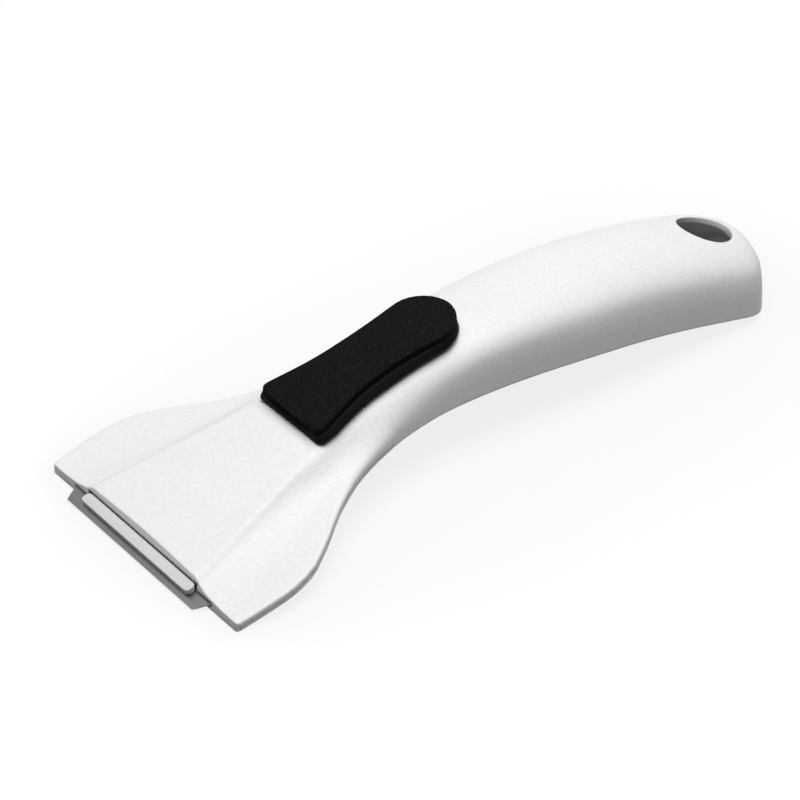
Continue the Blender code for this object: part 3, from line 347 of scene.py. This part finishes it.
def black_soft_plastic():
    """Soft black: a pebbled grain, finer grit on it, flecks, and slightly greyer where rubbed."""
    n = Look("black_soft_plastic_look")
    cell = n.add("ShaderNodeTexVoronoi", {"Vector": n.place}, Scale=2600.0)
    pebble = n.ranged(cell.outputs["Distance"], 0.0, 0.6, to_low=1.0, to_high=0.0)
    grit = n.noise(6500.0, detail=2.0, roughness=0.6)
    rub = n.noise(150.0, detail=4.0, roughness=0.6)
    worn = n.mix(rub, (0.011, 0.011, 0.0111), (0.014, 0.014, 0.0141))
    fleck = n.ranged(n.noise(3000.0, detail=3.0, roughness=0.7), 0.38, 0.62)
    colour = n.mix(fleck, (0.0035, 0.0035, 0.0036), worn)
    fine = n.bump(grit, 0.03 * MM, strength=0.6, normal=n.rounded(0.25 * MM))
    normal = n.bump(pebble, 0.05 * MM, strength=0.6, normal=fine)
    rough = n.ranged(fleck, to_low=0.78, to_high=0.58)
    return n.feed(Base_Color=colour, Roughness=rough, Normal=normal, Specular_IOR_Level=0.015)


def blade_steel():
    """Rolled steel: fine grinding lines along the edges, over soft streaks and blotches."""
    n = Look("blade_steel_look")
    lines = n.add(
        "ShaderNodeTexWave", {"Vector": n.place}, wave_type="BANDS", bands_direction="Y",
        Scale=820.0, Distortion=1.2, Detail=2.0, Detail_Scale=0.4,
    )
    streak = n.stretched_noise((60.0, 5200.0, 5200.0), detail=4.0, roughness=0.65)
    blotch = n.noise(180.0)
    ground = n.math("MULTIPLY", n.math("ADD", lines.outputs["Fac"], streak), 0.5)
    colour = n.mix(ground, (0.1, 0.1, 0.103), (0.24, 0.24, 0.245))
    rough = n.ranged(n.math("ADD", streak, blotch), 0.6, 1.4, to_low=0.26, to_high=0.4)
    normal = n.bump(streak, 0.006 * MM, strength=0.5)
    return n.feed(Base_Color=colour, Roughness=rough, Metallic=1.0, Normal=normal)


def zinc_plated_steel():
    """Zinc plating: a faint mottle and fine turning marks."""
    n = Look("zinc_plated_steel_look")
    mottle = n.noise(900.0, detail=4.0, roughness=0.6)
    colour = n.mix(mottle, (0.5, 0.5, 0.51), (0.63, 0.63, 0.64))
    rough = n.ranged(n.noise(1800.0, roughness=0.6), 0.3, 0.7, to_low=0.28, to_high=0.42)
    marks = n.noise(3000.0, roughness=0.6)
    normal = n.bump(marks, 0.006 * MM, strength=0.5, normal=n.rounded(0.1 * MM))
    return n.feed(Base_Color=colour, Roughness=rough, Metallic=1.0, Normal=normal)


def share_between(value, low, high):
    """How far a value is from low to high, from 0 to 1."""
    return min(max((value - low) / (high - low), 0.0), 1.0)


def soft_step(value, low, high):
    """A soft step from 0 at low to 1 at high."""
    share = share_between(value, low, high)
    return share * share * (3.0 - 2.0 * share)


def crease_offset(point):
    """Distance outwards from the crease's line, seen from above."""
    line_x = CREASE_X + CREASE_TAPER * (point.y - CREASE_Y)
    return (abs(point.x) - line_x) / math.hypot(1.0, CREASE_TAPER)


def crease_drop(point):
    """How much lower the crease makes this point of the outer skin."""
    front, full, thin, rear = CREASE_FADES
    along = share_between(point.y, full, thin)
    depth, low = (first + (last - first) * along for first, last in (CREASE_DEPTH, CREASE_LOW))
    offset = crease_offset(point)
    share = soft_step(offset, CREASE_START, low) * (1.0 - soft_step(offset, low, CREASE_END))
    share *= soft_step(point.y, front, full) * (1.0 - soft_step(point.y, thin, rear))
    return depth * share


def cut_crease_faces(bm):
    """Cuts the upward faces beside the plateau into finer ones, along the crease and across it."""
    front, *_, rear = CREASE_FADES
    cuts = [((0.0, y * MM, 0.0), (0.0, 1.0, 0.0)) for y in CREASE_CROSS_CUTS]
    for side in (-1.0, 1.0):
        across = Vector((side, -CREASE_TAPER, 0.0)).normalized()
        for offset in CREASE_CUTS:
            cuts.append((Vector((side * CREASE_X, CREASE_Y, 0.0)) + across * offset * MM, across))
    for spot, across in cuts:
        near = [
            face for face in bm.faces if face.normal.z > FACING_UP
            and any(front < v.co.y < rear for v in face.verts)
            and any(crease_offset(v.co) > CREASE_START - SAME_PLACE for v in face.verts)
            and any(crease_offset(v.co) < CREASE_END for v in face.verts)
        ]
        edges = dict.fromkeys(edge for face in near for edge in face.edges)
        verts = dict.fromkeys(vertex for face in near for vertex in face.verts)
        bmesh.ops.bisect_plane(
            bm, geom=[*verts, *edges, *near], dist=CUT_SNAP, plane_co=spot, plane_no=across,
        )
    bm.normal_update()


def deepen_creases(bm):
    """Makes the outer slopes steeper just beside the plateau."""
    cut_crease_faces(bm)
    front, *_, rear = CREASE_FADES
    tree = BVHTree.FromBMesh(bm)
    drops = []
    for vertex in bm.verts:
        in_band = CREASE_START < crease_offset(vertex.co) < CREASE_END
        if not (in_band and front < vertex.co.y < rear) or vertex.normal.z < FACING_UP:
            continue
        above = tree.ray_cast(vertex.co + UP * RAY_CLEARANCE, UP)[0]
        if above is None:
            drops.append((vertex, crease_drop(vertex.co)))
    for vertex, drop in drops:
        vertex.co.z -= drop


def sink_rail_corners(bm):
    """Lifts the rails' corners that stick out of the cover, so that its underside is flat there."""
    ends = [
        v for v in bm.verts if abs(v.co.y - RAIL_END_Y) < SAME_PLACE and abs(v.co.x) < RAIL_REACH
    ]
    lowest = min(v.co.z for v in ends)
    for corner in [v for v in ends if v.co.z < lowest + SAME_PLACE]:
        corner.co.z = min(
            v.co.z for v in ends
            if abs(v.co.x - corner.co.x) < SAME_PLACE and v.co.z > lowest + SAME_PLACE
        )


def smoothed(node):
    """The piece that replaces a node, with its seams welded and its curved faces smooth.

    Its shape is the node's own, apart from the housing's crease and the cover's rail corners.
    """
    source = frame["nodes"][node]
    bm = bmesh.new()
    bm.from_mesh(source.data)
    if node == "bottom_cover":
        sink_rail_corners(bm)
    bmesh.ops.remove_doubles(bm, verts=bm.verts, dist=WELD)
    bmesh.ops.dissolve_degenerate(bm, edges=bm.edges, dist=SLIVER)
    bmesh.ops.dissolve_limit(
        bm, angle_limit=FLAT_ANGLE, use_dissolve_boundaries=False, verts=bm.verts, edges=bm.edges,
        delimit={"NORMAL"},
    )
    if node == "top_housing":
        deepen_creases(bm)
    mesh = bpy.data.meshes.new(f"{node}_skin")
    bm.to_mesh(mesh)
    bm.free()
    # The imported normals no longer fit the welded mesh
    mesh.attributes.remove(mesh.attributes["custom_normal"])
    mesh.shade_smooth()
    mesh.set_sharp_from_angle(angle=SHARP_ANGLE.get(node, PLAIN_SHARP_ANGLE))
    skin = put_in_scene(f"{node}_skin", mesh)
    flatten = skin.modifiers.new("flatten", "WEIGHTED_NORMAL")
    flatten.mode = "FACE_AREA_WITH_ANGLE"
    flatten.weight = FLAT_FACE_WEIGHT
    flatten.keep_sharp = True
    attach(skin, source["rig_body"])
    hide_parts(node)
    return skin


def close_rim_seams():
    """Lengthens the cover's rim a little, up to the walls that it ends against."""
    for vertex in bpy.data.objects["bottom_cover_skin"].data.vertices:
        x, y, z = vertex.co
        if abs(y - RIM_END_Y) < SAME_PLACE and abs(x) > RIM_END_X:
            side = math.copysign(1.0, x)
            vertex.co = (x + side * RIM_GROWTH.x, y + RIM_GROWTH.y, z + RIM_GROWTH.z)


def world_light():
    """A plain pale world, white to the camera and in reflections."""
    world = bpy.data.worlds.new("studio")
    bpy.context.scene.world = world
    world.use_nodes = True
    n = Tree(world.node_tree)
    background = n.tree.nodes["Background"]
    background.inputs["Color"].default_value = (1.0, 1.0, 1.0, 1.0)
    n.link(n.ranged(n.seen_directly(), to_low=WORLD_STRENGTH), background.inputs["Strength"])


def floor_paper():
    """Pale paper. The camera sees it as white, apart from a soft shadow and a faint painted shadow
    halo.
    """
    made = bpy.data.materials.new("floor_paper")
    made.use_nodes = True
    n = Tree(made.node_tree)
    n.tree.nodes.remove(n.tree.nodes["Principled BSDF"])
    fibre = n.add("ShaderNodeTexNoise", Scale=FLOOR_FIBRE_SCALE).outputs["Fac"]
    paper_level = n.ranged(
        fibre, to_low=FLOOR_COLOUR - FLOOR_MOTTLE, to_high=FLOOR_COLOUR + FLOOR_MOTTLE,
    )
    paper = n.add("ShaderNodeBsdfDiffuse", {"Color": paper_level})
    near = n.add("ShaderNodeAmbientOcclusion", Distance=SHADOW_HALO_REACH).outputs["AO"]
    # Painted shadow: the glow dims where the floor is hemmed in by the object
    glow_less_painted_shadow = n.ranged(near, SHADOW_HALO_FULL, 1.0, to_low=FLOOR_GLOW - SHADOW_HALO_DEPTH, to_high=FLOOR_GLOW)
    glow = n.add("ShaderNodeEmission", {"Strength": glow_less_painted_shadow})
    shown = n.add("ShaderNodeBsdfDiffuse", Color=(FLOOR_SHADE, FLOOR_SHADE, FLOOR_SHADE, 1.0))
    total = n.add("ShaderNodeAddShader", {0: shown.outputs[0], 1: glow.outputs[0]})
    choice = n.add(
        "ShaderNodeMixShader", {0: n.seen_directly(), 1: paper.outputs[0], 2: total.outputs[0]},
    )
    n.link(choice.outputs[0], n.tree.nodes["Material Output"].inputs["Surface"])
    return made


def studio_floor():
    """The flat floor that the scraper lies on."""
    half = FLOOR_HALF_SIZE
    mesh = bpy.data.meshes.new("floor")
    corners = [(-half, -half, 0.0), (half, -half, 0.0), (half, half, 0.0), (-half, half, 0.0)]
    mesh.from_pydata(corners, [], [(0, 1, 2, 3)])
    floor = put_in_scene("floor", mesh)
    mesh.materials.append(floor_paper())


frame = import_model()

looks = {
    "white_plastic": white_plastic("white_plastic_look", WHITE, WHITE_EDGE),
    "black_plastic": black_plastic(),
    "black_soft_plastic": black_soft_plastic(),
    "blade_steel": blade_steel(),
    "zinc_plated_steel": zinc_plated_steel(),
    # Painted shade: a darker copy of the white plastic for the carrier
    "blade_carrier": white_plastic("carrier_shaded_white_look", CARRIER_SHADED_WHITE, CARRIER_EDGE),
}
for row in frame["record"]["subparts"]:
    piece = smoothed(row["node"])
    piece.data.materials.append(looks.get(row["node"], looks[row["material_slot"]]))

close_rim_seams()
place_camera()
world_light()
studio_floor()
overhead_lamp()
bpy.context.scene.view_settings.view_transform = "Standard"
